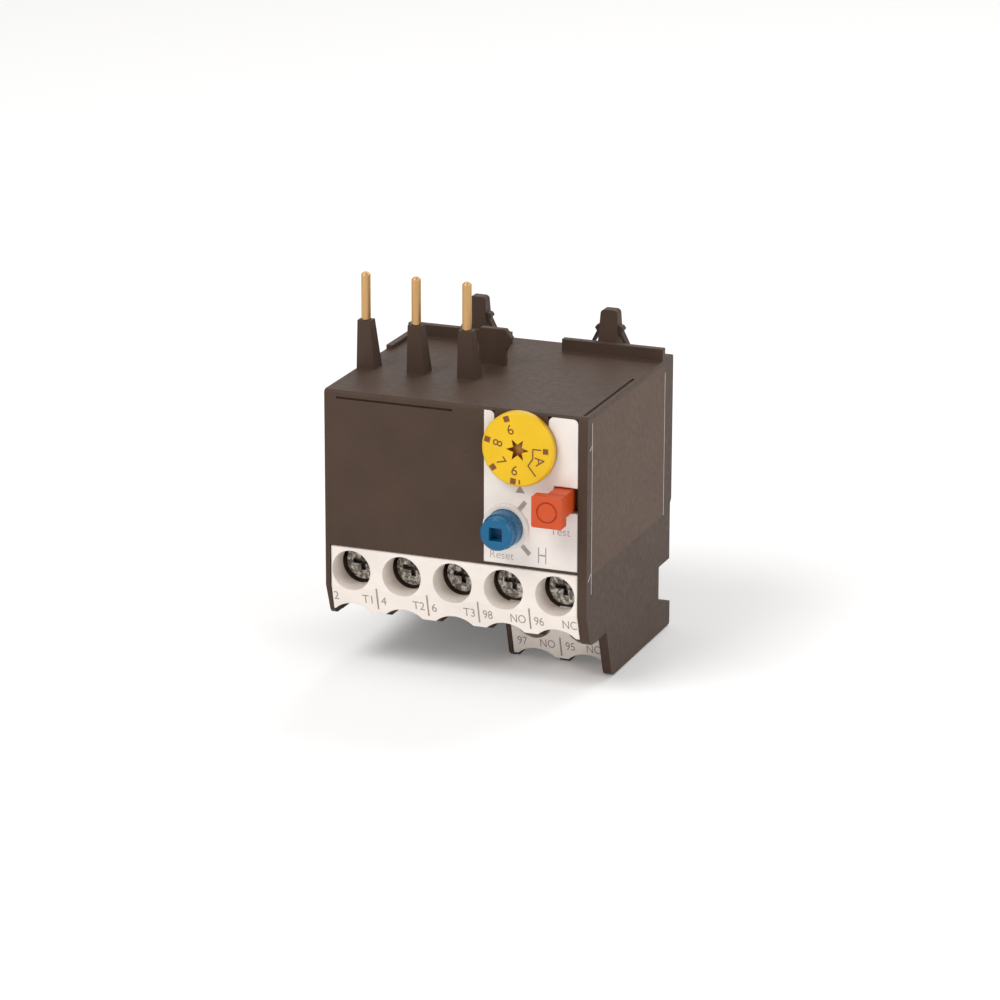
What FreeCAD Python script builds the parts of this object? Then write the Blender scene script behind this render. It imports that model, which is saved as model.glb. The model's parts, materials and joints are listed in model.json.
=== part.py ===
"""Plug-on thermal overload relay for a mini contactor, as separate pieces.

Frame, in millimetres: X to the right seen from the front, Y into the depth, Z up.
The origin lies on the top face, mid-width, on the line of the three contact pins.
Depths in the table are measured back from the front face, heights down from the top.
"""
import FreeCAD, Part
import math
import os
import Sketcher

SIZES = {
    # drawing
    "overlap": 0.2,                # fused features run this far into each other
    "overcut": 1.0,                # cuts start this far outside the solid
    # casing
    "case_width": 45.0,            # standard width of the contactor system
    "case_depth": 37.0,            # main housing, without its rear cover
    "pin_setback": 14.3,           # front face to the line of the contact pins
    "side_wall": 1.5,
    "top_wall": 2.0,
    "front_wall": 3.0,
    "chamber_floor": 25.0,         # inner floor above the upper terminals
    "well_floor": 33.0,            # inner floor behind the upper terminals
    "chin_top": 33.0,              # where the front starts to lean back
    "chin_setback": 2.0,
    "upper_bottom": 38.5,          # lower edge of the upper tier's fins
    "lower_bottom": 47.0,          # lower edge of the lower tier and of the foot
    "lower_front_top": 9.5,        # lower tier's side wall, depth at its top
    "lower_front_bottom": 12.4,
    "inner_wall_front": 16.5,      # lower edge of the wall beside the lower cover
    "lower_left": 3.4,             # left face of the lower tier
    "foot_front": 31.0,
    "foot_rear": 40.6,
    "corner_round": 1.6,
    "edge_round": 0.6,
    # rear hook for a rail edge
    "rail_top": 35.3,
    "rail_bottom": 41.8,
    "rail_depth": 34.9,            # depth of the notch's floor
    "rail_lip": 37.1,              # where the foot's top edge starts to slope
    "rail_lip_drop": 1.1,
    # terminals
    "terminal_pitch": 8.8,
    "row_centre": -0.5,            # third terminal's place across the width
    "terminal_height": 30.15,      # upper row below the top face
    "chamber_width": 7.0,
    "chamber_top": 26.5,
    "chamber_depth": 12.2,
    "chamber_back_wall": 1.4,
    "lower_row_height": 39.6,
    "lower_chamber_depth": 30.0,
    "lower_chamber_top": 36.0,
    "well_radius": 3.34,
    "well_wall": 0.45,
    "lower_well_wall": 0.275,
    "well_end": 4.6,               # depth at which an upper well's tube ends
    "lower_well_length": 3.4,
    # terminal screw, clamp and bar
    "screw_head_depth": 5.2,       # head face behind the front
    "screw_head_radius": 2.9,
    "screw_head_height": 2.6,
    "recess_depth": 1.3,
    "recess_half_width": 0.4,
    "recess_reach": 1.8,           # half length of the slot across the head
    "cross_reach": 1.44,
    "screw_radius": 1.72,
    "screw_length": 4.3,
    "thread_clearance": 0.06,
    "seat_gap": 0.05,
    "clamp_size": 6.2,
    "clamp_clearance": 0.15,
    "clamp_thickness": 1.0,
    "bar_thickness": 1.5,
    "bar_width": 6.0,
    "bar_drop": 4.0,               # bar's lower edge below the screw's axis
    "lower_bar_drop": 3.2,
    "tail_thickness": 1.2,
    "tail_width": 3.6,
    "lower_screw_head_depth": 19.3,
    "strip_width": 1.8,
    "aux_shift": 2.4,              # contact strip of the last terminal, to the right
    "bar_top": 26.8,
    "lower_bar_top": 36.4,
    "main_tail_end": 18.8,
    "run_clearance": 1.0,
    "run_height": 0.8,             # lower strips over the chamber's floor
    # covers and panel
    "cover_left": 21.7,
    "cover_right": 21.0,
    "cover_top": 26.15,
    "cover_bottom": 37.3,
    "cover_wall": 1.3,
    "cover_inset": 0.2,
    "cover_round": 0.3,
    "cover_lean": 1.1,             # set back of the cover's lower edge
    "wave_rise": 1.3,
    "wave_radius": 4.7,
    "lower_cover_depth": 13.4,
    "lower_cover_lean_top": 38.9,
    "lower_cover_lean": 2.1,
    "lower_cover_bottom": 46.2,
    "lower_cover_left": 4.3,
    "fit_gap": 0.1,
    "panel_left": 5.0,
    "panel_right": 20.9,
    "panel_top": 0.45,
    "panel_bottom": 25.65,
    "panel_thickness": 1.35,
    "panel_round": 0.9,
    "panel_depth": 1.4,            # depth of its seat in the front wall
    # dial
    "dial_x": 11.35,
    "dial_height": 5.95,
    "dial_radius": 6.1,
    "dial_proud": 1.7,
    "dial_rim": 0.3,
    "dial_gap": 0.15,
    "dial_shaft_radius": 1.5,
    "star_depth": 0.9,
    "star_tip": 1.9,
    "star_root": 0.85,
    "dial_notch_half": 4.6,
    "cam_depth": 18.2,
    "cam_thickness": 2.6,
    "cam_radius": 3.0,
    "cam_offset": 0.35,
    "cam_angle": 15.0,
    "running_gap": 0.05,
    # reset button and its selector ring
    "reset_x": 8.83,
    "reset_height": 19.4,
    "reset_radius": 3.0,
    "reset_tip_radius": 2.75,
    "button_chamfer": 0.35,
    "reset_square": 2.2,
    "reset_square_depth": 2.0,
    "reset_proud": 4.7,
    "reset_rim_proud": 3.2,
    "reset_shoulder": 6.2,
    "reset_stem_radius": 1.2,
    "reset_stem_end": 25.2,
    "ring_radius": 3.8,
    "ring_sleeve_radius": 3.4,
    "ring_sleeve_end": 4.5,
    "ring_proud": 0.55,
    "reset_web": 14.0,
    "web_thickness": 1.4,
    # test button
    "test_head_x": 17.5,
    "test_head_height": 14.7,
    "test_head_width": 5.2,
    "test_head_tall": 5.2,
    "test_proud": 4.8,
    "test_head_thickness": 1.9,
    "test_stem_left": 17.1,
    "test_stem_right": 20.1,
    "test_stem_top": 12.0,
    "test_stem_bottom": 15.7,
    "test_notch_gap": 0.25,
    "test_ring_radius": 1.5,
    "test_ring_width": 0.25,
    "test_ring_depth": 0.2,
    "test_shoulder": 6.2,
    "test_rod_radius": 1.0,
    "test_rod_end": 15.7,
    "test_web": 12.6,
    "spring_wire": 0.5,
    "spring_gap": 0.35,
    "spring_pitch": 1.5,
    # contact pins and sleeves
    "pin_first": -21.18,
    "pin_radius": 0.78,
    "pin_root_half": 0.55,         # square where the sleeve holds it
    "pin_height": 16.0,
    "pin_inside": 6.0,
    "pin_tip": 0.35,
    "lug_thickness": 0.8,
    "lug_width": 2.4,
    "lug_reach": 18.9,
    "lug_drop": 10.0,
    "sleeve_height": 8.1,
    "sleeve_left": 1.3,
    "sleeve_right": 1.9,
    "sleeve_front": 1.1,
    "sleeve_back": 2.1,
    "sleeve_top_half_x": 1.15,
    "sleeve_top_half_y": 0.95,
    # top face details
    "lip_front": 35.3,
    "lip_thickness": 1.3,
    "lip_height": 2.05,
    "lip_right_start": 4.9,
    "lip_left_end": 4.3,
    "edge_rib_start": 25.8,
    "edge_rib_width": 1.1,
    "edge_rib_height": 0.7,
    "catch_left": 4.9,
    "catch_right": 0.4,
    "catch_front": 23.0,
    "catch_thickness": 1.2,
    "catch_height": 6.2,
    "catch_neck": 2.3,
    "catch_nose": 4.8,             # height of the barb's point
    "catch_barb": 1.15,
    "catch_round": 0.4,
    "groove_start": 1.0,
    "groove_end": 24.0,
    "groove_inset": 0.7,           # from the right side
    "groove_width": 0.5,
    "groove_depth": 0.3,
    "slot_left": 20.4,
    "slot_right": 0.4,
    "slot_height": 1.0,
    "slot_width": 0.35,
    # rear cover and snap hooks
    "rear_thickness": 3.1,
    "rear_pad": 0.6,
    "rear_pad_height": 25.0,
    "rear_plug": 1.6,
    "rear_plug_wall": 1.2,
    "hook_centre": 0.45,
    "hook_spacing": 23.3,
    "hook_half": 1.75,
    "hook_top_half": 1.45,
    "hook_round": 0.7,
    "hook_height": 7.0,
    "hook_depth": 38.95,
    "hook_base_half": 1.7,
    "hook_front_slope": 0.9,
    "hook_back_slope": 0.7,
    "hook_foot": 3.45,             # outer side of a sprung arm where it starts
    "hook_arm": 0.45,
    "hook_arm_half": 0.75,
    "hook_arm_start": 0.7,
    "hook_arm_end": 1.3,
    "hook_neck": 2.15,
    "hook_nub": 2.5,
    "hook_nub_height": 3.8,
    "hook_nub_size": 0.5,
    # bimetals, heaters and slide
    "partition": 1.2,
    "frame_plate": 1.0,            # plate that joins the partitions under the top
    "plate_gap": 0.6,              # from the setting cam to that plate
    "frame_plate_back": 35.2,
    "strip_plane": 23.0,
    "bimetal_width": 4.5,
    "bimetal_thickness": 0.8,
    "bimetal_top": 3.2,
    "bimetal_bottom": 31.4,
    "finger_width": 2.0,
    "finger_top": 28.0,
    "finger_taper": 0.6,
    "boss_bottom": 6.0,
    "boss_half": 1.6,
    "boss_wall": 1.0,
    "boss_slot_gap": 0.2,
    "winding_top": 9.0,
    "winding_pitch": 2.0,
    "winding_count": 7,
    "winding_wire": 0.9,
    "winding_half": 1.9,
    "winding_gap": 0.35,
    "lead_gap": 0.4,
    "slide_top": 29.6,
    "slide_thickness": 1.2,
    "slide_width": 4.4,
    "slide_left": 20.2,
    "slide_right": 12.7,
    "slide_gap": 0.2,
    # adjusting lever and trip lever
    "lever_x": 14.8,
    "lever_height": 13.6,
    "lever_pin_radius": 0.9,
    "lever_hub": 2.0,
    "lever_plane": 18.4,
    "lever_thickness": 2.2,
    "lever_arm_top": 3.5,
    "lever_arm_width": 2.0,
    "eye_wall": 0.7,
    "cam_gap": 0.4,
    "lever_pin_depth": 6.0,
    "column_left": 12.4,
    "column_right": 16.6,
    "column_half": 1.9,
    "column_end": 18.1,
    "trip_x": 15.0,
    "trip_height": 19.5,
    "trip_pin_radius": 0.8,
    "trip_plane": 21.0,
    "trip_thickness": 4.0,
    "trip_wide": 1.8,
    "trip_slim": 0.9,
    "trip_shoulder": 3.8,
    "trip_foot": 5.0,
    "trip_tip_x": 12.5,
    "trip_tip_height": 7.0,
    "compensation_x": 13.0,
    "compensation_bottom": 31.3,
    "compensation_drop": 1.3,      # strip's upper end below the trip lever's pivot
    # contact carrier and contacts
    "carrier_x": 9.0,
    "carrier_half": 1.0,
    "carrier_front": 28.0,
    "carrier_back": 32.0,
    "carrier_top": 7.0,
    "carrier_bottom": 24.0,
    "nose_front": 21.5,
    "nose_top": 9.6,
    "nose_bottom": 13.0,
    "nose_right": 10.7,
    "nose_slope": 1.12,
    "bridge_half": 4.1,
    "bridge_width": 2.0,
    "bridge_thickness": 0.6,
    "nc_bridge_top": 14.2,
    "no_bridge_top": 18.2,
    "contact_gap": 2.0,
    "tongue_thickness": 0.8,
    "contact_plane": 30.0,
    "carrier_spring_radius": 1.5,
}

doc = FreeCAD.newDocument("overload_relay")
sheet = doc.addObject("Spreadsheet::Sheet", "Sizes")


class Size:
    """A length that knows its value and the formula that binds it to the sheet."""

    def __init__(self, value, formula):
        self.value = value
        self.formula = formula

    def __add__(self, other):
        other = size(other)
        return Size(self.value + other.value, f"({self.formula} + {other.formula})")

    def __sub__(self, other):
        other = size(other)
        return Size(self.value - other.value, f"({self.formula} - {other.formula})")

    def __mul__(self, other):
        other = size(other)
        return Size(self.value * other.value, f"({self.formula} * {other.formula})")

    def __truediv__(self, other):
        other = size(other)
        return Size(self.value / other.value, f"({self.formula} / {other.formula})")

    def __neg__(self):
        return Size(-self.value, f"(0 - {self.formula})")

    def __radd__(self, other):
        return size(other) + self

    def __rsub__(self, other):
        return size(other) - self

    def __rmul__(self, other):
        return size(other) * self


class Table:
    """The sheet's named sizes, read as attributes."""

    def __getattr__(self, name):
        return Size(float(sheet.get(name)), "Sizes." + name)


def size(value):
    if isinstance(value, Size):
        return value
    return Size(float(value), f"({float(value):.6f})")


def fill_sheet():
    for row, (name, value) in enumerate(SIZES.items(), start=1):
        sheet.set(f"A{row}", name)
        sheet.set(f"B{row}", str(value))
        sheet.setAlias(f"B{row}", name)
    doc.recompute()


def bind(thing, prop, value):
    value = size(value)
    thing.setExpression(prop, value.formula)


fill_sheet()
s = Table()
FRONT = -s.pin_setback


def depth(value):
    """Y of a place measured back from the front face."""
    return FRONT + value


def column(index):
    """X of a terminal; the upper row counts 0 to 4 from the left."""
    return s.row_centre + (index - 2) * s.terminal_pitch


def pin_x(index):
    return s.pin_first + index * s.terminal_pitch


# ---------------------------------------------------------------- drawing helpers

def new_body(label, place=None):
    body = doc.addObject("PartDesign::Body", label)
    body.Label = label
    for letter, value in zip("xyz", place or ()):
        bind(body, "Placement.Base." + letter, value)
    return body


def plane_of(body, role):
    for feature in body.Origin.OriginFeatures:
        if feature.Role == role:
            return feature
    raise LookupError(role)


def new_sketch(body, role, name, shift):
    sketch = body.newObject("Sketcher::SketchObject", f"{body.Name}_{name}")
    sketch.AttachmentSupport = [(plane_of(body, role), "")]
    sketch.MapMode = "FlatFace"
    for letter, value in zip("xyz", shift):
        bind(sketch, "AttachmentOffset.Base." + letter, value)
    return sketch


def constrain(sketch, kind, *args):
    """Add a constraint whose last argument is its size."""
    *places, value = args
    value = size(value)
    number = sketch.addConstraint(Sketcher.Constraint(kind, *places, value.value))
    sketch.setExpression(f"Constraints[{number}]", value.formula)


def fix_point(sketch, geometry, end, corner):
    constrain(sketch, "DistanceX", -1, 1, geometry, end, corner[0])
    constrain(sketch, "DistanceY", -1, 1, geometry, end, corner[1])


def polygon(sketch, corners):
    """A closed loop of lines; a corner's third value rounds it with an arc."""
    count = len(corners)
    points = [FreeCAD.Vector(size(c[0]).value, size(c[1]).value, 0) for c in corners]
    first = sketch.GeometryCount
    for index in range(count):
        sketch.addGeometry(Part.LineSegment(points[index], points[(index + 1) % count]), False)
    for index in range(count):
        following = first + (index + 1) % count
        sketch.addConstraint(Sketcher.Constraint("Coincident", first + index, 2, following, 1))
    for index, corner in enumerate(corners):
        fix_point(sketch, first + index, 1, corner)
    for index, corner in enumerate(corners):
        if len(corner) > 2:
            round_corner(sketch, first + (index - 1) % count, first + index, size(corner[2]))


def round_corner(sketch, before, after, radius):
    """Round the corner between two lines, keeping the corner's own place bound."""
    number = sketch.GeometryCount
    corner = sketch.getPoint(after, 1)
    on_before = corner + (sketch.getPoint(before, 1) - corner) * PICK_SHARE
    on_after = corner + (sketch.getPoint(after, 2) - corner) * PICK_SHARE
    sketch.fillet(before, after, on_before, on_after, radius.value, True, True)
    for index in range(number, sketch.GeometryCount):
        if isinstance(sketch.Geometry[index], Part.ArcOfCircle):
            constrain(sketch, "Radius", index, radius)


def rectangle(sketch, low, high):
    polygon(sketch, [(low[0], low[1]), (high[0], low[1]), (high[0], high[1]), (low[0], high[1])])


def circle(sketch, centre, radius):
    centre_value = FreeCAD.Vector(size(centre[0]).value, size(centre[1]).value, 0)
    normal = FreeCAD.Vector(0, 0, 1)
    number = sketch.addGeometry(Part.Circle(centre_value, normal, size(radius).value), False)
    fix_point(sketch, number, 3, centre)
    constrain(sketch, "Radius", number, radius)


PICK_SHARE = 0.3        # how far along its lines a corner is picked for rounding
RUNS_PER_TURN = 10      # straight runs in one turn of a spring
SHARP_CORNERS = 1       # how a pipe passes a bend: with mitred corners

# The sketch planes: on "XZ" a sketch looks along +Y, on "YZ" it looks from the right.
ROLES = {"XY": "XY_Plane", "XZ": "XZ_Plane", "YZ": "YZ_Plane"}


def solid(body, kind, plane, span, draw, name):
    """Add or cut a prism between the two planes of span; draw fills its sketch."""
    low, high = size(span[0]), size(span[1])
    if plane == "XZ":
        start = -high if kind == "Pad" else -low
    else:
        start = low if kind == "Pad" else high
    sketch = new_sketch(body, ROLES[plane], f"{name}_outline", (0, 0, start))
    draw(sketch)
    feature = body.newObject(f"PartDesign::{kind}", f"{body.Name}_{name}")
    feature.Profile = sketch
    bind(feature, "Length", high - low)
    return feature


def add(body, plane, span, draw, name):
    return solid(body, "Pad", plane, span, draw, name)


def cut(body, plane, span, draw, name):
    return solid(body, "Pocket", plane, span, draw, name)


def block(body, kind, x, y, z, name):
    """Add or cut a box."""
    return solid(body, kind, "XZ", y, lambda k: rectangle(k, (x[0], z[0]), (x[1], z[1])), name)


def turned(body, corners, name, shift=(0, 0, 0)):
    """A solid of revolution about a line along Y; corners are (radius, y)."""
    sketch = new_sketch(body, "XY_Plane", f"{name}_profile", shift)
    polygon(sketch, corners)
    feature = body.newObject("PartDesign::Revolution", f"{body.Name}_{name}")
    feature.Profile = sketch
    feature.ReferenceAxis = (sketch, ["V_Axis"])
    feature.Angle = 360
    return feature


def spring(label, base, axis, radius, length):
    """A square-wire spring, wound in straight runs about a line from base along axis."""
    wire, pitch = s.spring_wire.value, s.spring_pitch.value
    base = FreeCAD.Vector(*(size(value).value for value in base))
    radius, length = size(radius).value, size(length).value
    axis = FreeCAD.Vector(*axis)
    out = FreeCAD.Vector(1, 0, 0)
    side = axis.cross(out)
    rise = length - wire
    runs = round(rise / pitch * RUNS_PER_TURN)
    path = []
    for number in range(runs + 1):
        turn = 2 * math.pi * number / RUNS_PER_TURN
        spoke = out * math.cos(turn) + side * math.sin(turn)
        path.append(base + axis * (wire / 2 + rise * number / runs) + spoke * radius)
    along = (path[1] - path[0]).normalize()
    upward = (axis - along * axis.dot(along)).normalize() * (wire / 2)
    across = along.cross(upward)
    corners = [path[0] + across + upward, path[0] - across + upward,
               path[0] - across - upward, path[0] + across - upward]
    section = Part.makePolygon(corners + corners[:1])
    body = doc.addObject("Part::Feature", label)
    body.Shape = Part.Wire(Part.makePolygon(path)).makePipeShell([section], True, False, SHARP_CORNERS)
    return body


# ---------------------------------------------------------------- casing

HALF = s.case_width / 2
BACK = depth(s.case_depth)


def compartments():
    """The X spans of the three pole chambers and of the mechanism's chamber."""
    walls = [column(index) + s.terminal_pitch / 2 for index in range(3)]
    lows = [-HALF + s.side_wall] + [wall + s.partition / 2 for wall in walls]
    highs = [wall - s.partition / 2 for wall in walls] + [HALF - s.side_wall]
    return list(zip(lows, highs))


def upper_profile(sketch):
    polygon(sketch, [
        (depth(0), 0, s.edge_round),
        (BACK, 0),
        (BACK, -s.rail_top),
        (depth(s.rail_depth), -s.rail_top),
        (depth(s.rail_depth), -s.upper_bottom),
        (depth(s.chin_setback), -s.upper_bottom, s.corner_round),
        (depth(0), -s.chin_top),
    ])


def foot_corners():
    """The hook that the rail's edge goes into, from the notch down to the foot."""
    return [
        (depth(s.rail_depth), -s.lower_chamber_top),
        (depth(s.rail_depth), -s.rail_bottom),
        (depth(s.rail_lip), -s.rail_bottom),
        (depth(s.foot_rear), -s.rail_bottom - s.rail_lip_drop),
        (depth(s.foot_rear), -s.lower_bottom, s.edge_round),
    ]


def inner_lower_profile(sketch):
    """Walls of the lower terminals, flush with the face of their cover."""
    polygon(sketch, foot_corners() + [
        (depth(s.inner_wall_front), -s.lower_bottom, s.edge_round),
        (depth(s.lower_cover_depth + s.lower_cover_lean), -s.lower_cover_bottom),
        (depth(s.lower_cover_depth), -s.lower_cover_lean_top),
        (depth(s.lower_cover_depth), -s.lower_chamber_top),
    ])


def lower_profile(sketch):
    polygon(sketch, foot_corners() + [
        (depth(s.lower_front_bottom), -s.lower_bottom, s.corner_round),
        (depth(s.lower_front_top), -s.upper_bottom),
        (depth(s.lower_front_top), -s.lower_chamber_top),
    ])


def foot_profile(sketch):
    polygon(sketch, foot_corners() + [
        (depth(s.foot_front), -s.lower_bottom, s.edge_round),
        (depth(s.foot_front), -s.lower_chamber_top),
    ])


def chamber_profile(sketch, back, gap=0.0):
    """Side view of the inner chamber, or with a gap of what stands in it."""
    shelf = depth(s.chamber_depth + s.chamber_back_wall) + gap
    front = depth(s.front_wall) + gap
    polygon(sketch, [
        (front, -s.top_wall - gap),
        (back, -s.top_wall - gap),
        (back, -s.well_floor + gap),
        (shelf, -s.well_floor + gap),
        (shelf, -s.chamber_floor + gap),
        (front, -s.chamber_floor + gap),
    ])


def hollow_out(body):
    cut(body, "YZ", (-HALF + s.side_wall, HALF - s.side_wall),
        lambda k: chamber_profile(k, BACK + s.overcut), "chamber")
    below = -s.lower_bottom - s.overcut
    for index in range(5):
        x = column(index)
        block(body, "Pocket", (x - s.chamber_width / 2, x + s.chamber_width / 2),
              (depth(-s.overcut), depth(s.chamber_depth)),
              (-s.upper_bottom - s.overcut, -s.chamber_top),
              f"terminal{index}")
    for index in (3, 4):
        x = column(index)
        block(body, "Pocket", (x - s.chamber_width / 2, x + s.chamber_width / 2),
              (depth(s.lower_front_top - s.overcut), depth(s.lower_chamber_depth)),
              (below, -s.lower_chamber_top), f"lower_terminal{index}")
    inner = (-HALF + s.side_wall, s.lower_left - s.side_wall)
    block(body, "Pocket", inner,
          (depth(s.chamber_depth + s.chamber_back_wall), depth(s.foot_front)),
          (below, -s.well_floor - s.side_wall), "underside")


def seat_covers(body):
    outside = depth(-s.overcut)
    block(body, "Pocket", (-s.cover_left, s.cover_right), (outside, depth(s.well_end + s.seat_gap)),
          (-s.upper_bottom - s.overcut, -s.cover_top + s.fit_gap), "cover_seat")
    lower_end = depth(s.lower_cover_depth + s.lower_well_length + s.seat_gap)
    block(body, "Pocket", (s.lower_cover_left - s.fit_gap, s.cover_right),
          (depth(s.lower_front_top - s.overcut), lower_end),
          (-s.lower_bottom - s.overcut, -s.lower_chamber_top), "lower_cover_seat")
    block(body, "Pocket", (s.panel_left - s.seat_gap, s.panel_right + s.seat_gap),
          (outside, depth(s.panel_depth)),
          (-s.panel_bottom - s.seat_gap, -s.panel_top + s.seat_gap), "panel_seat")
    dial_plinth(body)
    block(body, "Pocket", (-s.slot_left, -s.slot_right), (outside, depth(s.slot_width)),
          (-s.slot_height - s.slot_width, -s.slot_height), "front_slot")


def dial_plinth(body):
    """The casing's own face inside the panel's notch, which the dial turns on."""
    span = (depth(0), depth(s.panel_depth + s.overlap))
    half = s.dial_notch_half - s.fit_gap
    add(body, "XZ", span, lambda k: circle(k, (s.dial_x, -s.dial_height), half), "plinth_round")
    block(body, "Pad", (s.dial_x - half, s.dial_x + half), span,
          (-s.dial_height, -s.panel_top + s.overlap), "plinth")


def pierce_front(body):
    """Openings in the front wall for the dial, the reset button and the test button."""
    wall = (depth(0), depth(s.front_wall + s.overlap))
    cut(body, "XZ", wall,
        lambda k: circle(k, (s.dial_x, -s.dial_height), s.dial_shaft_radius + s.running_gap),
        "dial_bore")
    cut(body, "XZ", wall,
        lambda k: circle(k, (s.reset_x, -s.reset_height), s.ring_sleeve_radius + s.running_gap),
        "reset_bore")
    gap = s.fit_gap
    block(body, "Pocket", (s.test_stem_left - gap, s.test_stem_right + gap), wall,
          (-s.test_stem_bottom - gap, -s.test_stem_top + gap), "test_bore")


def inner_supports(body):
    """The column that carries the adjusting lever and the web that guides the test button."""
    block(body, "Pad", (s.column_left, s.column_right),
          (depth(s.front_wall - s.overlap), depth(s.column_end)),
          (-s.lever_height - s.column_half, -s.lever_height + s.column_half), "lever_column")
    cut(body, "XZ", (depth(s.column_end - s.lever_pin_depth), depth(s.column_end)),
        lambda k: circle(k, (s.lever_x, -s.lever_height), s.lever_pin_radius), "lever_bore")
    web = (depth(s.test_web), depth(s.test_web + s.web_thickness))
    axis = test_axis()
    block(body, "Pad", (s.column_right - s.overlap, HALF - s.side_wall + s.overlap), web,
          (axis[1] - s.column_half, axis[1] + s.column_half), "test_web")
    cut(body, "XZ", web, lambda k: circle(k, axis, s.test_rod_radius + s.fit_gap), "test_guide")


def strip_slots(body):
    """Slots that the terminals' strips pass through."""
    for index in range(3):
        tail_slot(body, column(index), s.tail_width, index)
    tail_slot(body, column(3), s.strip_width, 3)
    tail_slot(body, column(4) + s.aux_shift, s.strip_width, 4)
    riser = (depth(riser_depth() - s.tail_thickness - s.fit_gap),
             depth(riser_depth() + s.fit_gap))
    half = s.strip_width / 2 + s.fit_gap
    for index in (3, 4):
        block(body, "Pocket", (column(index) - half, column(index) + half), riser,
              (-s.lower_chamber_top - s.overlap, -s.well_floor + s.overlap), f"riser_slot{index}")


def tail_slot(body, x, width, index):
    half = width / 2 + s.fit_gap
    rear = s.chamber_depth + s.chamber_back_wall
    block(body, "Pocket", (x - half, x + half),
          (depth(s.chamber_depth - s.overlap), depth(rear + s.overlap)),
          (-s.bar_top - s.tail_thickness - s.fit_gap, -s.bar_top + s.fit_gap), f"bar_slot{index}")


def riser_depth():
    """Rear face of the lower terminals' risers, just in front of the contact carrier."""
    return s.carrier_front + s.fit_gap


def sleeves(body):
    """Tapered insulating sleeves round the contact pins."""
    for index in range(3):
        x = pin_x(index)
        base = new_sketch(body, "XY_Plane", f"sleeve_base{index}", (0, 0, -s.overlap))
        rectangle(base, (x - s.sleeve_left, -s.sleeve_front), (x + s.sleeve_right, s.sleeve_back))
        top = new_sketch(body, "XY_Plane", f"sleeve_top{index}", (0, 0, s.sleeve_height))
        rectangle(top, (x - s.sleeve_top_half_x, -s.sleeve_top_half_y),
                  (x + s.sleeve_top_half_x, s.sleeve_top_half_y))
        loft = body.newObject("PartDesign::AdditiveLoft", f"sleeve{index}")
        loft.Profile = base
        loft.Sections = [top]
        loft.Ruled = True
    half = s.pin_root_half + s.running_gap
    for index in range(3):
        x = pin_x(index)
        block(body, "Pocket", (x - half, x + half), (-half, half),
              (-s.pin_inside - s.fit_gap, s.sleeve_height + s.overlap), f"pin_hole{index}")


def top_details(body):
    """Locating lips, edge rib and catch block, which meet the contactor, and a groove."""
    lip = (depth(s.lip_front), depth(s.lip_front + s.lip_thickness))
    block(body, "Pad", (s.lip_right_start, HALF), lip, (-s.overlap, s.lip_height), "lip_right")
    block(body, "Pad", (-HALF, -s.lip_left_end), lip, (-s.overlap, s.lip_height), "lip_left")
    block(body, "Pad", (-HALF, -HALF + s.edge_rib_width),
          (depth(s.edge_rib_start), depth(s.lip_front + s.overlap)),
          (-s.overlap, s.edge_rib_height), "edge_rib")
    right = -s.catch_right
    add(body, "XZ", (depth(s.catch_front), depth(s.catch_front + s.catch_thickness)),
        lambda k: polygon(k, [
            (-s.catch_left, -s.overlap),
            (right, -s.overlap),
            (right, s.catch_neck),
            (right + s.catch_barb, s.catch_nose),
            (right, s.catch_height),
            (-s.catch_left, s.catch_height, s.catch_round),
        ]), "catch_block")
    edge = HALF - s.groove_inset
    block(body, "Pocket", (edge - s.groove_width, edge),
          (depth(s.groove_start), depth(s.groove_end)), (-s.groove_depth, s.overcut), "top_groove")


def main_housing():
    body = new_body("main_housing")
    add(body, "YZ", (-HALF, HALF), upper_profile, "upper_tier")
    add(body, "YZ", (s.lower_left, HALF), inner_lower_profile, "lower_tier")
    add(body, "YZ", (s.cover_right, HALF), lower_profile, "right_cheek")
    add(body, "YZ", (-HALF, s.lower_left + s.overlap), foot_profile, "left_foot")
    hollow_out(body)
    seat_covers(body)
    pierce_front(body)
    inner_supports(body)
    strip_slots(body)
    sleeves(body)
    top_details(body)
    return body


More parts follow.
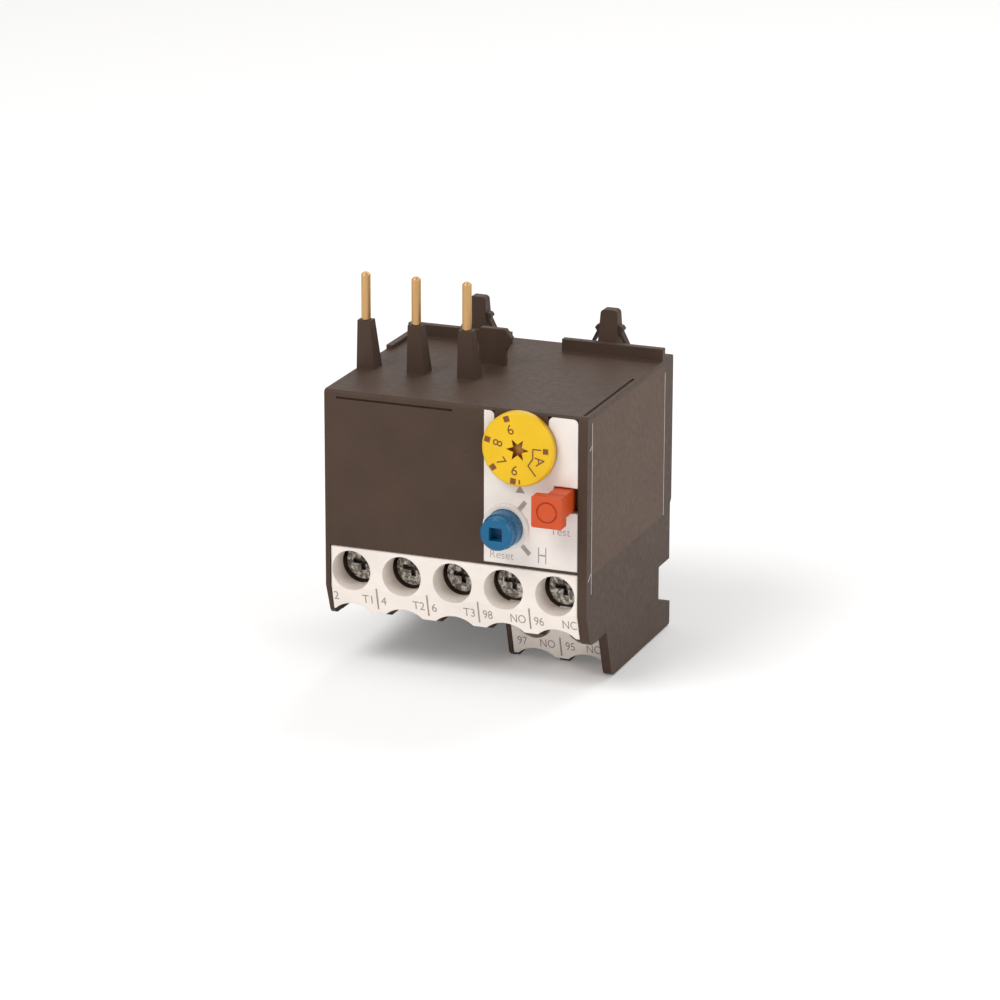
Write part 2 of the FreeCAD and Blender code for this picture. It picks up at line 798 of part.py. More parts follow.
def partition_frame():
    """Inner piece that parts the poles, holds the bimetals and guides the reset stem."""
    body = new_body("partition_frame")
    gap = s.seat_gap
    for index in range(3):
        middle = column(index) + s.terminal_pitch / 2
        add(body, "YZ", (middle - s.partition / 2, middle + s.partition / 2),
            lambda k: chamber_profile(k, BACK - gap, gap), f"wall{index}")
    under = -s.top_wall - gap
    block(body, "Pad", (-HALF + s.side_wall + gap, HALF - s.side_wall - gap),
          (depth(s.cam_depth + s.cam_thickness + s.plate_gap), depth(s.frame_plate_back)),
          (under - s.frame_plate, under), "plate")
    plane = depth(s.strip_plane)
    half_width = s.bimetal_width / 2
    half_gap = s.bimetal_thickness / 2 + s.boss_slot_gap
    for index in range(3):
        x = column(index)
        block(body, "Pad", (x - s.boss_half, x + s.boss_half),
              (plane - half_width - s.boss_wall, plane + half_width + s.boss_wall),
              (-s.boss_bottom, under - s.frame_plate + s.overlap), f"holder{index}")
        block(body, "Pocket", (x - half_gap, x + half_gap),
              (plane - half_width - s.fit_gap, plane + half_width + s.fit_gap),
              (-s.boss_bottom - s.overlap, -s.bimetal_top + s.boss_slot_gap), f"holder_slot{index}")
    half_slide = s.slide_width / 2 + s.slide_gap
    block(body, "Pocket", (-HALF + s.side_wall, compartments()[3][0]),
          (plane - half_slide, plane + half_slide),
          (-s.slide_top - s.slide_thickness - s.slide_gap, -s.slide_top + s.slide_gap), "windows")
    web = (depth(s.reset_web), depth(s.reset_web + s.web_thickness))
    block(body, "Pad", (compartments()[3][0] - s.overlap, s.reset_x + s.reset_radius), web,
          (-s.chamber_floor, -s.reset_height + s.reset_radius), "reset_web")
    cut(body, "XZ", web,
        lambda k: circle(k, (s.reset_x, -s.reset_height), s.reset_stem_radius + s.fit_gap),
        "reset_guide")
    return body


def rear_cover():
    body = new_body("rear_cover")
    outer = s.case_depth + s.rear_thickness
    add(body, "YZ", (-HALF, HALF), lambda k: polygon(k, [
        (BACK, 0),
        (depth(outer + s.rear_pad), 0, s.edge_round),
        (depth(outer + s.rear_pad), -s.rear_pad_height),
        (depth(outer), -s.rear_pad_height - s.rear_pad),
        (depth(outer), -s.rail_top),
        (BACK, -s.rail_top),
    ]), "plate")
    low, high = compartments()[3]
    gap = s.fit_gap
    wall = s.rear_plug_wall
    plug = (depth(s.case_depth - s.rear_plug), BACK + s.overlap)
    block(body, "Pad", (low + gap, high - gap), plug,
          (-s.well_floor + gap, -s.top_wall - gap), "plug")
    block(body, "Pocket", (low + gap + wall, high - gap - wall), (plug[0] - s.overlap, BACK),
          (-s.well_floor + gap + wall, -s.top_wall - gap - wall), "plug_core")
    for side in (-1, 1):
        snap_hook(body, s.hook_centre + side * s.hook_spacing / 2, "left" if side < 0 else "right")
    return body


def snap_hook(body, x, name):
    """A tapered post with two sprung arms that snap into the contactor."""
    y = depth(s.hook_depth)
    nub_low, nub_high = s.hook_nub_height - s.hook_nub_size, s.hook_nub_height + s.hook_nub_size
    for side in (-1, 1):
        foot, inner = side * s.hook_foot, side * (s.hook_foot - s.hook_arm)
        add(body, "XZ", (y - s.hook_arm_half, y + s.hook_arm_half), lambda k: polygon(k, [
            (x + foot, -s.overlap),
            (x + foot, s.hook_arm_start),
            (x + side * s.hook_neck, nub_low),
            (x + side * s.hook_nub, s.hook_nub_height),
            (x + side * s.hook_neck, nub_high),
            (x + side * s.hook_arm_end, nub_high + s.overlap),
            (x + side * s.hook_arm_end, s.hook_nub_height),
            (x + inner, s.hook_arm_start),
            (x + inner, -s.overlap),
        ]), f"arm_{name}{side + 1}")
    front, back = y - s.hook_base_half, y + s.hook_base_half
    add(body, "XZ", (front, back), lambda k: polygon(k, [
        (x - s.hook_half, -s.overlap),
        (x + s.hook_half, -s.overlap),
        (x + s.hook_top_half, s.hook_height, s.hook_round),
        (x - s.hook_top_half, s.hook_height, s.hook_round),
    ]), f"post_{name}")
    top = s.hook_height + s.overlap
    wide = (x - s.hook_half - s.overlap, x + s.hook_half + s.overlap)
    cut(body, "YZ", wide, lambda k: polygon(k, [
        (front, 0), (front + s.hook_front_slope, top), (front - s.overcut, top),
        (front - s.overcut, 0)]), f"front_slope_{name}")
    cut(body, "YZ", wide, lambda k: polygon(k, [
        (back, 0), (back + s.overcut, 0), (back + s.overcut, top),
        (back - s.hook_back_slope, top)]), f"back_slope_{name}")


# ---------------------------------------------------------------- covers and panel

def wave_cut(body, index, bottom, span, name):
    centre = (column(index), -bottom - s.wave_radius + s.wave_rise)
    cut(body, "XZ", span, lambda k: circle(k, centre, s.wave_radius), name)


def terminal_cover():
    body = new_body("terminal_cover")
    front, back = s.cover_inset, s.cover_inset + s.cover_wall
    lean = s.cover_lean
    left, right = -s.cover_left + s.fit_gap, s.cover_right - s.fit_gap
    add(body, "YZ", (left, right), lambda k: polygon(k, [
        (depth(front), -s.cover_top, s.cover_round),
        (depth(back), -s.cover_top),
        (depth(back), -s.chin_top),
        (depth(back + lean), -s.cover_bottom),
        (depth(front + lean), -s.cover_bottom),
        (depth(front), -s.chin_top),
    ]), "face")
    for index in range(5):
        add(body, "XZ", (depth(back - s.overlap), depth(s.well_end)),
            lambda k: circle(k, (column(index), -s.terminal_height), s.well_radius + s.well_wall),
            f"tube{index}")
    block(body, "Pocket", (left - s.overcut, left), (depth(front), depth(s.well_end)),
          (-s.cover_bottom, -s.cover_top), "flat_side")
    through = (depth(-s.overcut), depth(s.well_end + s.overlap))
    for index in range(5):
        cut(body, "XZ", through,
            lambda k: circle(k, (column(index), -s.terminal_height), s.well_radius),
            f"well{index}")
        wave_cut(body, index, s.cover_bottom, through, f"wave{index}")
    return body


def lower_terminal_cover():
    body = new_body("lower_terminal_cover")
    front = s.lower_cover_depth
    back = front + s.cover_wall
    top = -s.lower_chamber_top - s.fit_gap
    left, right = s.lower_cover_left, s.cover_right - s.fit_gap
    add(body, "YZ", (left, right), lambda k: polygon(k, [
        (depth(front), top),
        (depth(back), top),
        (depth(back), -s.lower_cover_lean_top),
        (depth(back + s.lower_cover_lean), -s.lower_cover_bottom),
        (depth(front + s.lower_cover_lean), -s.lower_cover_bottom),
        (depth(front), -s.lower_cover_lean_top),
    ]), "face")
    end = front + s.lower_well_length
    radius = s.well_radius - s.fit_gap
    for index in (3, 4):
        add(body, "XZ", (depth(back - s.overlap), depth(end)),
            lambda k: circle(k, (column(index), -s.lower_row_height), radius + s.lower_well_wall),
            f"tube{index}")
    through = (depth(front - s.overcut), depth(end + s.overlap))
    for index in (3, 4):
        cut(body, "XZ", through,
            lambda k: circle(k, (column(index), -s.lower_row_height), radius), f"well{index}")
        wave_cut(body, index, s.lower_cover_bottom, through, f"wave{index}")
    return body


def setting_panel():
    body = new_body("setting_panel")
    span = (depth(s.panel_depth - s.panel_thickness), depth(s.panel_depth))
    left, right = s.panel_left, s.panel_right
    top, bottom = -s.panel_top, -s.panel_bottom
    notch = s.test_notch_gap
    dial_left, dial_right = s.dial_x - s.dial_notch_half, s.dial_x + s.dial_notch_half
    add(body, "XZ", span, lambda k: polygon(k, [
        (left, bottom),
        (right, bottom),
        (right, -s.test_stem_bottom - notch),
        (s.test_stem_left - notch, -s.test_stem_bottom - notch),
        (s.test_stem_left - notch, -s.test_stem_top + notch),
        (right, -s.test_stem_top + notch),
        (right, top, s.panel_round),
        (dial_right, top, s.panel_round),
        (dial_right, -s.dial_height),
        (dial_left, -s.dial_height),
        (dial_left, top, s.panel_round),
        (left, top),
    ]), "plate")
    cut(body, "XZ", span,
        lambda k: circle(k, (s.dial_x, -s.dial_height), s.dial_notch_half), "dial_notch")
    cut(body, "XZ", span,
        lambda k: circle(k, (s.reset_x, -s.reset_height), s.ring_sleeve_radius + s.running_gap),
        "reset_hole")
    return body


# ---------------------------------------------------------------- operators on the front

def current_dial():
    body = new_body("current_dial", (s.dial_x, 0, -s.dial_height))
    front = depth(-s.dial_proud)
    seat = depth(s.panel_depth - s.panel_thickness - s.dial_gap)
    end = depth(s.cam_depth + s.cam_thickness)
    turned(body, [
        (0, front),
        (s.dial_radius - s.dial_rim, front),
        (s.dial_radius, front + s.dial_rim),
        (s.dial_radius, seat),
        (s.dial_shaft_radius, seat),
        (s.dial_shaft_radius, end),
        (0, end),
    ], "disc")
    cut(body, "XZ", (front - s.overlap, front + s.star_depth), star, "driver_recess")
    return body


def star(sketch):
    """Recess for a screwdriver: six short arms round the centre."""
    corners = []
    for number in range(12):
        reach = s.star_root if number % 2 else s.star_tip
        angle = math.pi * number / 6
        corners.append((reach * math.cos(angle), reach * math.sin(angle)))
    polygon(sketch, corners)


def setting_cam():
    body = new_body("setting_cam", (s.dial_x, 0, -s.dial_height))
    span = (depth(s.cam_depth), depth(s.cam_depth + s.cam_thickness))
    turn = math.radians(SIZES["cam_angle"])
    centre = (s.cam_offset * math.cos(turn), s.cam_offset * math.sin(turn))
    add(body, "XZ", span, lambda k: circle(k, centre, s.cam_radius), "disc")
    cut(body, "XZ", span, lambda k: circle(k, (0, 0), s.dial_shaft_radius), "bore")
    return body


def reset_selector():
    body = new_body("reset_selector", (s.reset_x, 0, -s.reset_height))
    inner = s.reset_radius + s.running_gap
    seat = depth(s.panel_depth - s.panel_thickness - s.running_gap)
    turned(body, [
        (inner, depth(-s.ring_proud)),
        (s.ring_radius, depth(-s.ring_proud)),
        (s.ring_radius, seat),
        (s.ring_sleeve_radius, seat),
        (s.ring_sleeve_radius, depth(s.ring_sleeve_end)),
        (inner, depth(s.ring_sleeve_end)),
    ], "ring")
    return body


def reset_button():
    body = new_body("reset_button", (s.reset_x, 0, -s.reset_height))
    turned(body, [
        (0, depth(-s.reset_proud)),
        (s.reset_tip_radius - s.button_chamfer, depth(-s.reset_proud)),
        (s.reset_tip_radius, depth(-s.reset_proud) + s.button_chamfer),
        (s.reset_tip_radius, depth(-s.reset_rim_proud)),
        (s.reset_radius, depth(-s.reset_rim_proud) + s.button_chamfer),
        (s.reset_radius, depth(s.reset_shoulder)),
        (s.reset_stem_radius, depth(s.reset_shoulder)),
        (s.reset_stem_radius, depth(s.reset_stem_end)),
        (0, depth(s.reset_stem_end)),
    ], "plunger")
    half = s.reset_square / 2
    cut(body, "XZ", (depth(-s.reset_proud - s.overlap), depth(s.reset_square_depth - s.reset_proud)),
        lambda k: rectangle(k, (-half, -half), (half, half)), "driver_square")
    return body


def test_axis():
    return ((s.test_stem_left + s.test_stem_right) / 2, -(s.test_stem_top + s.test_stem_bottom) / 2)


def test_button():
    body = new_body("test_button")
    half_x, half_z = s.test_head_width / 2, s.test_head_tall / 2
    x, z = s.test_head_x, -s.test_head_height
    head_back = depth(s.test_head_thickness - s.test_proud)
    add(body, "XZ", (depth(-s.test_proud), head_back), lambda k: polygon(k, [
        (x - half_x, z - half_z, s.button_chamfer),
        (x + half_x, z - half_z, s.button_chamfer),
        (x + half_x, z + half_z, s.button_chamfer),
        (x - half_x, z + half_z, s.button_chamfer),
    ]), "head")
    block(body, "Pad", (s.test_stem_left, s.test_stem_right),
          (head_back - s.overlap, depth(s.test_shoulder)),
          (-s.test_stem_bottom, -s.test_stem_top), "stem")
    add(body, "XZ", (depth(s.test_shoulder - s.overlap), depth(s.test_rod_end)),
        lambda k: circle(k, test_axis(), s.test_rod_radius), "rod")
    groove = (depth(-s.test_proud - s.overlap), depth(s.test_ring_depth - s.test_proud))

    def ring(sketch):
        circle(sketch, (x, z), s.test_ring_radius + s.test_ring_width)
        circle(sketch, (x, z), s.test_ring_radius)
    cut(body, "XZ", groove, ring, "engraved_ring")
    return body


def reset_spring():
    start = depth(s.reset_shoulder) + s.seat_gap
    return spring("reset_spring", (s.reset_x, start, -s.reset_height), (0, 1, 0),
                  s.reset_stem_radius + s.spring_gap + s.spring_wire / 2,
                  depth(s.reset_web) - s.seat_gap - start)


def test_spring():
    x, z = test_axis()
    start = depth(s.test_shoulder) + s.seat_gap
    return spring("test_spring", (x, start, z), (0, 1, 0),
                  s.test_rod_radius + s.spring_gap + s.spring_wire / 2,
                  depth(s.test_web) - s.seat_gap - start)


# ---------------------------------------------------------------- current path

def contact_pin(index):
    """A round pin on a square root, whose lug leads to the heater."""
    body = new_body(f"contact_pin_{index + 1}", (pin_x(index), 0, 0))
    root_top = s.sleeve_height + s.seat_gap
    sketch = new_sketch(body, "XZ_Plane", "profile", (0, 0, 0))
    polygon(sketch, [
        (0, root_top),
        (s.pin_radius, root_top),
        (s.pin_radius, s.pin_height - s.pin_tip),
        (s.pin_radius - s.pin_tip, s.pin_height),
        (0, s.pin_height),
    ])
    shaft = body.newObject("PartDesign::Revolution", f"{body.Name}_shaft")
    shaft.Profile = sketch
    shaft.ReferenceAxis = (sketch, ["V_Axis"])
    shaft.Angle = 360
    root = s.pin_root_half
    block(body, "Pad", (-root, root), (-root, root), (-s.pin_inside, root_top + s.overlap), "root")
    half = s.lug_width / 2
    reach = column(index) - pin_x(index)
    level = (-s.pin_inside, -s.pin_inside + s.lug_thickness)
    end = depth(s.lug_reach)
    block(body, "Pad", (root - s.overlap, reach + half), (-half, half), level, "lug")
    block(body, "Pad", (reach - half, reach + half), (0, end), level, "arm")
    block(body, "Pad", (reach - half, reach + half), (end - s.lug_thickness, end),
          (-s.lug_drop, -s.pin_inside + s.lug_thickness), "tab")
    return body


def bimetal_strip(index):
    body = new_body(f"bimetal_strip_{index + 1}", (column(index), depth(s.strip_plane), 0))
    half, finger = s.bimetal_width / 2, s.finger_width / 2
    thick = s.bimetal_thickness / 2
    add(body, "YZ", (-thick, thick), lambda k: polygon(k, [
        (-half, -s.bimetal_top),
        (half, -s.bimetal_top),
        (half, -s.finger_top),
        (finger, -s.finger_top - s.finger_taper),
        (finger, -s.bimetal_bottom),
        (-finger, -s.bimetal_bottom),
        (-finger, -s.finger_top - s.finger_taper),
        (-half, -s.finger_top),
    ]), "strip")
    return body


def heater_winding(index):
    """Heater wire wound round the bimetal strip, with one lead to each neighbour."""
    body = new_body(f"heater_winding_{index + 1}", (column(index), depth(s.strip_plane), 0))
    wire = s.winding_wire
    x = s.winding_half
    y = s.bimetal_width / 2 + s.winding_gap + wire
    top = -s.winding_top
    bottom = top - (s.winding_count - 1) * s.winding_pitch - wire
    add(body, "XY", (bottom, top), lambda k: rectangle(k, (-x, -y), (x, y)), "outer")
    cut(body, "XY", (bottom - s.overlap, top + s.overlap),
        lambda k: rectangle(k, (-x + wire, -y + wire), (x - wire, y - wire)), "former")
    out = s.overcut
    for turn in range(int(SIZES["winding_count"]) - 1):
        high = top - turn * s.winding_pitch - wire
        low = high - s.winding_pitch + wire
        side = 1 if turn % 2 == 0 else -1
        cut(body, "XY", (low, high), lambda k: polygon(k, [
            (-side * (x + out), -y - out),
            (side * (x - wire), -y - out),
            (side * (x - wire), y - wire),
            (side * (x + out), y - wire),
            (side * (x + out), y + out),
            (-side * (x + out), y + out),
        ]), f"gap{turn}")
    lead = s.lug_reach + s.lead_gap - s.strip_plane
    block(body, "Pad", (-wire / 2, wire / 2), (lead, -y + s.overlap), (top - wire, top), "top_lead")
    block(body, "Pad", (-wire / 2, wire / 2), (lead, -y + s.overlap),
          (-s.bar_top - s.tail_thickness / 2, bottom + wire), "bottom_lead")
    return body


# ---------------------------------------------------------------- terminals

TERMINALS = {
    "t1": (0, "upper"), "t2": (1, "upper"), "t3": (2, "upper"), "98": (3, "upper"),
    "96": (4, "upper"), "97": (3, "lower"), "95": (4, "lower"),
}


def terminal_place(name):
    """X, head depth and Z of a terminal's screw."""
    index, tier = TERMINALS[name]
    if tier == "upper":
        return column(index), s.screw_head_depth, -s.terminal_height
    return column(index), s.lower_screw_head_depth, -s.lower_row_height


def clamp_front():
    """From the screw head's face back to the clamp's front."""
    return s.screw_head_height + s.seat_gap


def bar_front():
    return clamp_front() + s.clamp_thickness + s.seat_gap


def terminal_screw(name):
    x, head, z = terminal_place(name)
    body = new_body(f"terminal_screw_{name}", (x, depth(head), z))
    head_back = s.screw_head_height
    turned(body, [
        (0, 0),
        (s.screw_head_radius, 0),
        (s.screw_head_radius, head_back),
        (s.screw_radius, head_back),
        (s.screw_radius, head_back + s.screw_length),
        (0, head_back + s.screw_length),
    ], "blank")
    short = s.recess_half_width
    for label, reach_x, reach_z in (("slot", s.recess_reach, short), ("cross", short, s.cross_reach)):
        cut(body, "XZ", (-s.overlap, s.recess_depth),
            lambda k: rectangle(k, (-reach_x, -reach_z), (reach_x, reach_z)), label)
    return body


def clamp_washer(name):
    x, head, z = terminal_place(name)
    body = new_body(f"clamp_washer_{name}", (x, depth(head) + clamp_front(), z))
    half = s.clamp_size / 2
    block(body, "Pad", (-half, half), (0, s.clamp_thickness), (-half, half), "plate")
    cut(body, "XZ", (0, s.clamp_thickness),
        lambda k: circle(k, (0, 0), s.screw_radius + s.clamp_clearance), "hole")
    return body


def bar_body(name):
    """The threaded plate of a terminal, in the part's own frame."""
    x, head, z = terminal_place(name)
    body = new_body(f"terminal_bar_{name}")
    front = depth(head) + bar_front()
    half = s.bar_width / 2
    upper = TERMINALS[name][1] == "upper"
    top = -s.bar_top if upper else -s.lower_bar_top
    drop = s.bar_drop if upper else s.lower_bar_drop
    block(body, "Pad", (x - half, x + half), (front, front + s.bar_thickness), (z - drop, top),
          "plate")
    cut(body, "XZ", (front, front + s.bar_thickness),
        lambda k: circle(k, (x, z), s.screw_radius + s.thread_clearance), "thread")
    return body, front + s.bar_thickness


def strip_box(body, x, y, z, name):
    block(body, "Pad", x, y, z, name)


def main_bar(name):
    body, back = bar_body(name)
    x = terminal_place(name)[0]
    half = s.tail_width / 2
    strip_box(body, (x - half, x + half), (back - s.overlap, depth(s.main_tail_end)),
              (-s.bar_top - s.tail_thickness, -s.bar_top), "tail")
    return body


def tongue_spans():
    """X spans of the left and right fixed contacts, under or over the bridges' ends."""
    left = s.carrier_x - s.bridge_half
    right = s.carrier_x + s.bridge_half
    return (left, left + s.strip_width), (right - s.strip_width, right)


def contact_levels():
    """Z spans of the fixed contacts of the opening and of the closing pair."""
    nc_low = -s.nc_bridge_top + s.seat_gap
    no_high = -s.no_bridge_top - s.bridge_thickness - s.contact_gap - s.seat_gap
    return (nc_low, nc_low + s.tongue_thickness), (no_high - s.tongue_thickness, no_high)


def contact_bar_96():
    body, back = bar_body("96")
    x = column(4) + s.aux_shift
    wide = (x - s.strip_width / 2, x + s.strip_width / 2)
    half = s.bridge_width / 2
    rear = depth(s.contact_plane) + half
    low, high = contact_levels()[0]
    strip_box(body, wide, (back - s.overlap, rear), (-s.bar_top - s.tail_thickness, -s.bar_top), "tail")
    strip_box(body, wide, (rear - s.tail_thickness, rear),
              (-s.bar_top - s.tail_thickness, high), "riser")
    strip_box(body, (tongue_spans()[1][0], wide[1]), (rear - 2 * half, rear), (low, high), "tongue")
    return body


def contact_bar_98():
    body, back = bar_body("98")
    x = column(3)
    left = tongue_spans()[0]
    level = (-s.bar_top - s.tail_thickness, -s.bar_top)
    rear = depth(riser_depth() - s.tail_thickness - s.fit_gap)
    turn = (rear - s.tail_thickness, rear)
    low, high = contact_levels()[1]
    half = s.strip_width / 2
    strip_box(body, (x - half, x + half), (back - s.overlap, rear), level, "tail")
    strip_box(body, (left[0], x + s.strip_width / 2), turn, level, "jog")
    strip_box(body, left, turn, (level[0], high), "riser")
    strip_box(body, left, (turn[0], depth(s.contact_plane) + s.bridge_width / 2), (low, high),
              "tongue")
    return body


def lower_riser(body, back, x, top):
    """The strip from a lower bar back and up through the chamber's roof."""
    half = s.strip_width / 2
    rear = depth(riser_depth())
    strip_box(body, (x - half, x + half), (back - s.overlap, rear),
              (-s.lower_bar_top - s.tail_thickness, -s.lower_bar_top), "tail")
    strip_box(body, (x - half, x + half), (rear - s.tail_thickness, rear),
              (-s.lower_bar_top - s.tail_thickness, top), "riser")
    return rear


def run_level():
    """Z span of the lower strips' runs, over the chamber's floor."""
    low = -s.well_floor + s.run_height
    return low, low + s.tail_thickness


def contact_bar_97():
    body, back = bar_body("97")
    x = column(3)
    level = run_level()
    rear = lower_riser(body, back, x, level[1])
    right = tongue_spans()[1]
    turn = (rear - s.tail_thickness, rear)
    low, high = contact_levels()[1]
    strip_box(body, (x - s.strip_width / 2, right[1]), turn, level, "run")
    strip_box(body, right, turn, (level[0], high), "upright")
    strip_box(body, right, (turn[0], depth(s.contact_plane) + s.bridge_width / 2), (low, high),
              "tongue")
    return body


def contact_bar_95():
    body, back = bar_body("95")
    x = column(4)
    level = run_level()
    rear = lower_riser(body, back, x, level[1])
    left = tongue_spans()[0]
    behind = depth(s.carrier_back + s.run_clearance)
    turn = (behind, behind + s.tail_thickness)
    half = s.strip_width / 2
    low, high = contact_levels()[0]
    strip_box(body, (x - half, x + half), (rear - s.tail_thickness, turn[1]), level, "back_run")
    strip_box(body, (left[0], x + half), turn, level, "run")
    strip_box(body, left, turn, (level[0], high), "upright")
    strip_box(body, left, (depth(s.contact_plane) - s.bridge_width / 2, turn[1]), (low, high),
              "tongue")
    return body


# ---------------------------------------------------------------- trip mechanism

def trip_slide():
    body = new_body("trip_slide")
    half = s.slide_width / 2
    plane = depth(s.strip_plane)
    level = (-s.slide_top - s.slide_thickness, -s.slide_top)
    add(body, "XY", level,
        lambda k: rectangle(k, (-s.slide_left, plane - half), (s.slide_right, plane + half)), "bar")
    for index in range(3):
        x = column(index)
        gap_x = s.bimetal_thickness / 2 + s.slide_gap
        gap_y = s.finger_width / 2 + s.slide_gap
        cut(body, "XY", level, lambda k: rectangle(
            k, (x - gap_x, plane - gap_y), (x + gap_x, plane + gap_y)), f"slot{index}")
    return body


def cam_reach():
    """Right side of the cam at rest."""
    turn = math.radians(SIZES["cam_angle"])
    return s.dial_x + s.cam_offset * math.cos(turn) + s.cam_radius


def adjusting_lever():
    body = new_body("adjusting_lever")
    span = (depth(s.lever_plane), depth(s.lever_plane + s.lever_thickness))
    face = cam_reach() + s.cam_gap
    add(body, "XZ", span, lambda k: circle(k, (s.lever_x, -s.lever_height), s.lever_hub), "hub")
    block(body, "Pad", (face, face + s.lever_arm_width), span,
          (-s.lever_height, -s.lever_arm_top), "upper_arm")
    half = s.trip_pin_radius + s.eye_wall
    block(body, "Pad", (s.trip_x - half, s.trip_x + half), span,
          (-s.trip_height, -s.lever_height), "lower_arm")
    add(body, "XZ", span, lambda k: circle(k, (s.trip_x, -s.trip_height), half), "lower_eye")
    cut(body, "XZ", span, lambda k: circle(
        k, (s.lever_x, -s.lever_height), s.lever_pin_radius + s.running_gap), "pivot_bore")
    cut(body, "XZ", span, lambda k: circle(
        k, (s.trip_x, -s.trip_height), s.trip_pin_radius), "trip_pin_bore")
    return body


def pin_along_depth(label, x, z, radius, span):
    body = new_body(label, (x, 0, z))
    add(body, "XZ", span, lambda k: circle(k, (0, 0), radius), "pin")
    return body


def adjusting_lever_pin():
    span = (depth(s.column_end - s.lever_pin_depth),
            depth(s.lever_plane + s.lever_thickness + s.fit_gap))
    return pin_along_depth("adjusting_lever_pin", s.lever_x, -s.lever_height,
                           s.lever_pin_radius, span)


def trip_lever_pin():
    span = (depth(s.lever_plane), depth(s.trip_plane + s.trip_thickness + s.fit_gap))
    return pin_along_depth("trip_lever_pin", s.trip_x, -s.trip_height, s.trip_pin_radius, span)


def trip_lever():
    """The lever that the compensation strip turns, with its nose at the carrier."""
    body = new_body("trip_lever", (s.trip_x, 0, -s.trip_height))
    span = (depth(s.trip_plane), depth(s.trip_plane + s.trip_thickness))
    seat = s.compensation_x + s.bimetal_thickness + s.seat_gap - s.trip_x
    tip_x = s.trip_tip_x - s.trip_x
    tip_z = s.trip_height - s.trip_tip_height
    wide, slim = s.trip_wide, s.trip_slim
    add(body, "XZ", span, lambda k: polygon(k, [
        (seat, -s.trip_foot),
        (slim, -s.trip_foot),
        (wide, 0),
        (slim, s.trip_shoulder),
        (tip_x + slim, tip_z - wide),
        (tip_x, tip_z, s.catch_round),
        (tip_x - slim, tip_z - slim),
        (tip_x - slim, tip_z - wide),
        (-wide, s.trip_shoulder),
        (-wide, wide),
        (seat, -slim),
    ]), "lever")
    cut(body, "XZ", span, lambda k: circle(k, (0, 0), s.trip_pin_radius + s.running_gap), "bore")
    return body


def compensation_strip():
    body = new_body("compensation_strip")
    block(body, "Pad", (s.compensation_x, s.compensation_x + s.bimetal_thickness),
          (depth(s.trip_plane), depth(s.trip_plane + s.trip_thickness)),
          (-s.compensation_bottom, -s.trip_height - s.compensation_drop), "strip")
    return body


def bridge_depths():
    half = s.bridge_width / 2
    return depth(s.contact_plane) - half, depth(s.contact_plane) + half


def contact_carrier():
    body = new_body("contact_carrier")
    x = (s.carrier_x - s.carrier_half, s.carrier_x + s.carrier_half)
    block(body, "Pad", x, (depth(s.carrier_front), depth(s.carrier_back)),
          (-s.carrier_bottom, -s.carrier_top), "post")
    slope = s.nose_slope
    add(body, "XZ", (depth(s.nose_front), depth(s.carrier_front + s.overlap)), lambda k: polygon(k, [
        (x[0], -s.nose_bottom),
        (s.nose_right, -s.nose_bottom),
        (s.nose_right, -s.nose_top - slope),
        (s.carrier_x, -s.nose_top),
        (x[0], -s.nose_top),
    ]), "nose")
    for name, top in (("nc", s.nc_bridge_top), ("no", s.no_bridge_top)):
        block(body, "Pocket", (x[0] - s.overlap, x[1] + s.overlap), bridge_depths(),
              (-top - s.bridge_thickness, -top), f"{name}_window")
    return body


def contact_bridge(label, top):
    body = new_body(label)
    block(body, "Pad", (s.carrier_x - s.bridge_half, s.carrier_x + s.bridge_half),
          bridge_depths(), (-top - s.bridge_thickness, -top), "bar")
    return body


def carrier_spring():
    """Return spring under the contact carrier."""
    start = -s.well_floor + s.seat_gap
    return spring("carrier_spring", (s.carrier_x, depth(s.contact_plane), start), (0, 0, 1),
                  s.carrier_spring_radius, -s.carrier_bottom - s.seat_gap - start)


# ---------------------------------------------------------------- whole relay

def build():
    pieces = [main_housing(), partition_frame(), rear_cover(), terminal_cover(),
              lower_terminal_cover(),
              setting_panel(), current_dial(), setting_cam(), reset_selector(), reset_button(),
              reset_spring(), test_button(), test_spring()]
    for index in range(3):
        pieces += [contact_pin(index), bimetal_strip(index), heater_winding(index)]
    for name in TERMINALS:
        pieces += [terminal_screw(name), clamp_washer(name)]
    pieces += [main_bar("t1"), main_bar("t2"), main_bar("t3")]
    pieces += [contact_bar_98(), contact_bar_96(), contact_bar_97(), contact_bar_95()]
    pieces += [trip_slide(), adjusting_lever(), adjusting_lever_pin(), trip_lever(),
               trip_lever_pin(), compensation_strip(), contact_carrier(),
               contact_bridge("nc_contact_bridge", s.nc_bridge_top),
               contact_bridge("no_contact_bridge", s.no_bridge_top), carrier_spring()]
    return pieces


def check(pieces):
    """Stop on a failed feature, a bad solid or a cut that removed nothing."""
    doc.recompute()
    for thing in doc.Objects:
        failed = {"Invalid", "Error"} & set(thing.State)
        if failed:
            raise RuntimeError(f"{thing.Name}: {thing.State}")
    for body in pieces:
        shape = body.Shape
        if shape.isNull() or not shape.isValid() or len(shape.Solids) != 1:
            raise RuntimeError(f"{body.Label}: {len(shape.Solids)} solids")
    for thing in doc.Objects:
        if thing.TypeId == "PartDesign::Pocket" and thing.BaseFeature:
            if thing.Shape.Volume >= thing.BaseFeature.Shape.Volume - 1e-6:
                raise RuntimeError(f"{thing.Name} cuts nothing")


def main():
    pieces = build()
    check(pieces)
    os.makedirs("parts", exist_ok=True)
    for body in pieces:
        body.Shape.exportStep(f"parts/{body.Label}.step")
    print(len(pieces), "pieces")


main()
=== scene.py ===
"""Looks of the plug-on thermal overload relay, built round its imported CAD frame.

Row frame: X right seen from the front, Y into the depth, Z up. Lengths below are
millimetres unless a name ends in _m; MM turns them into Blender's metres.
"""
import json
import math

import bpy
from mathutils import Matrix, Vector


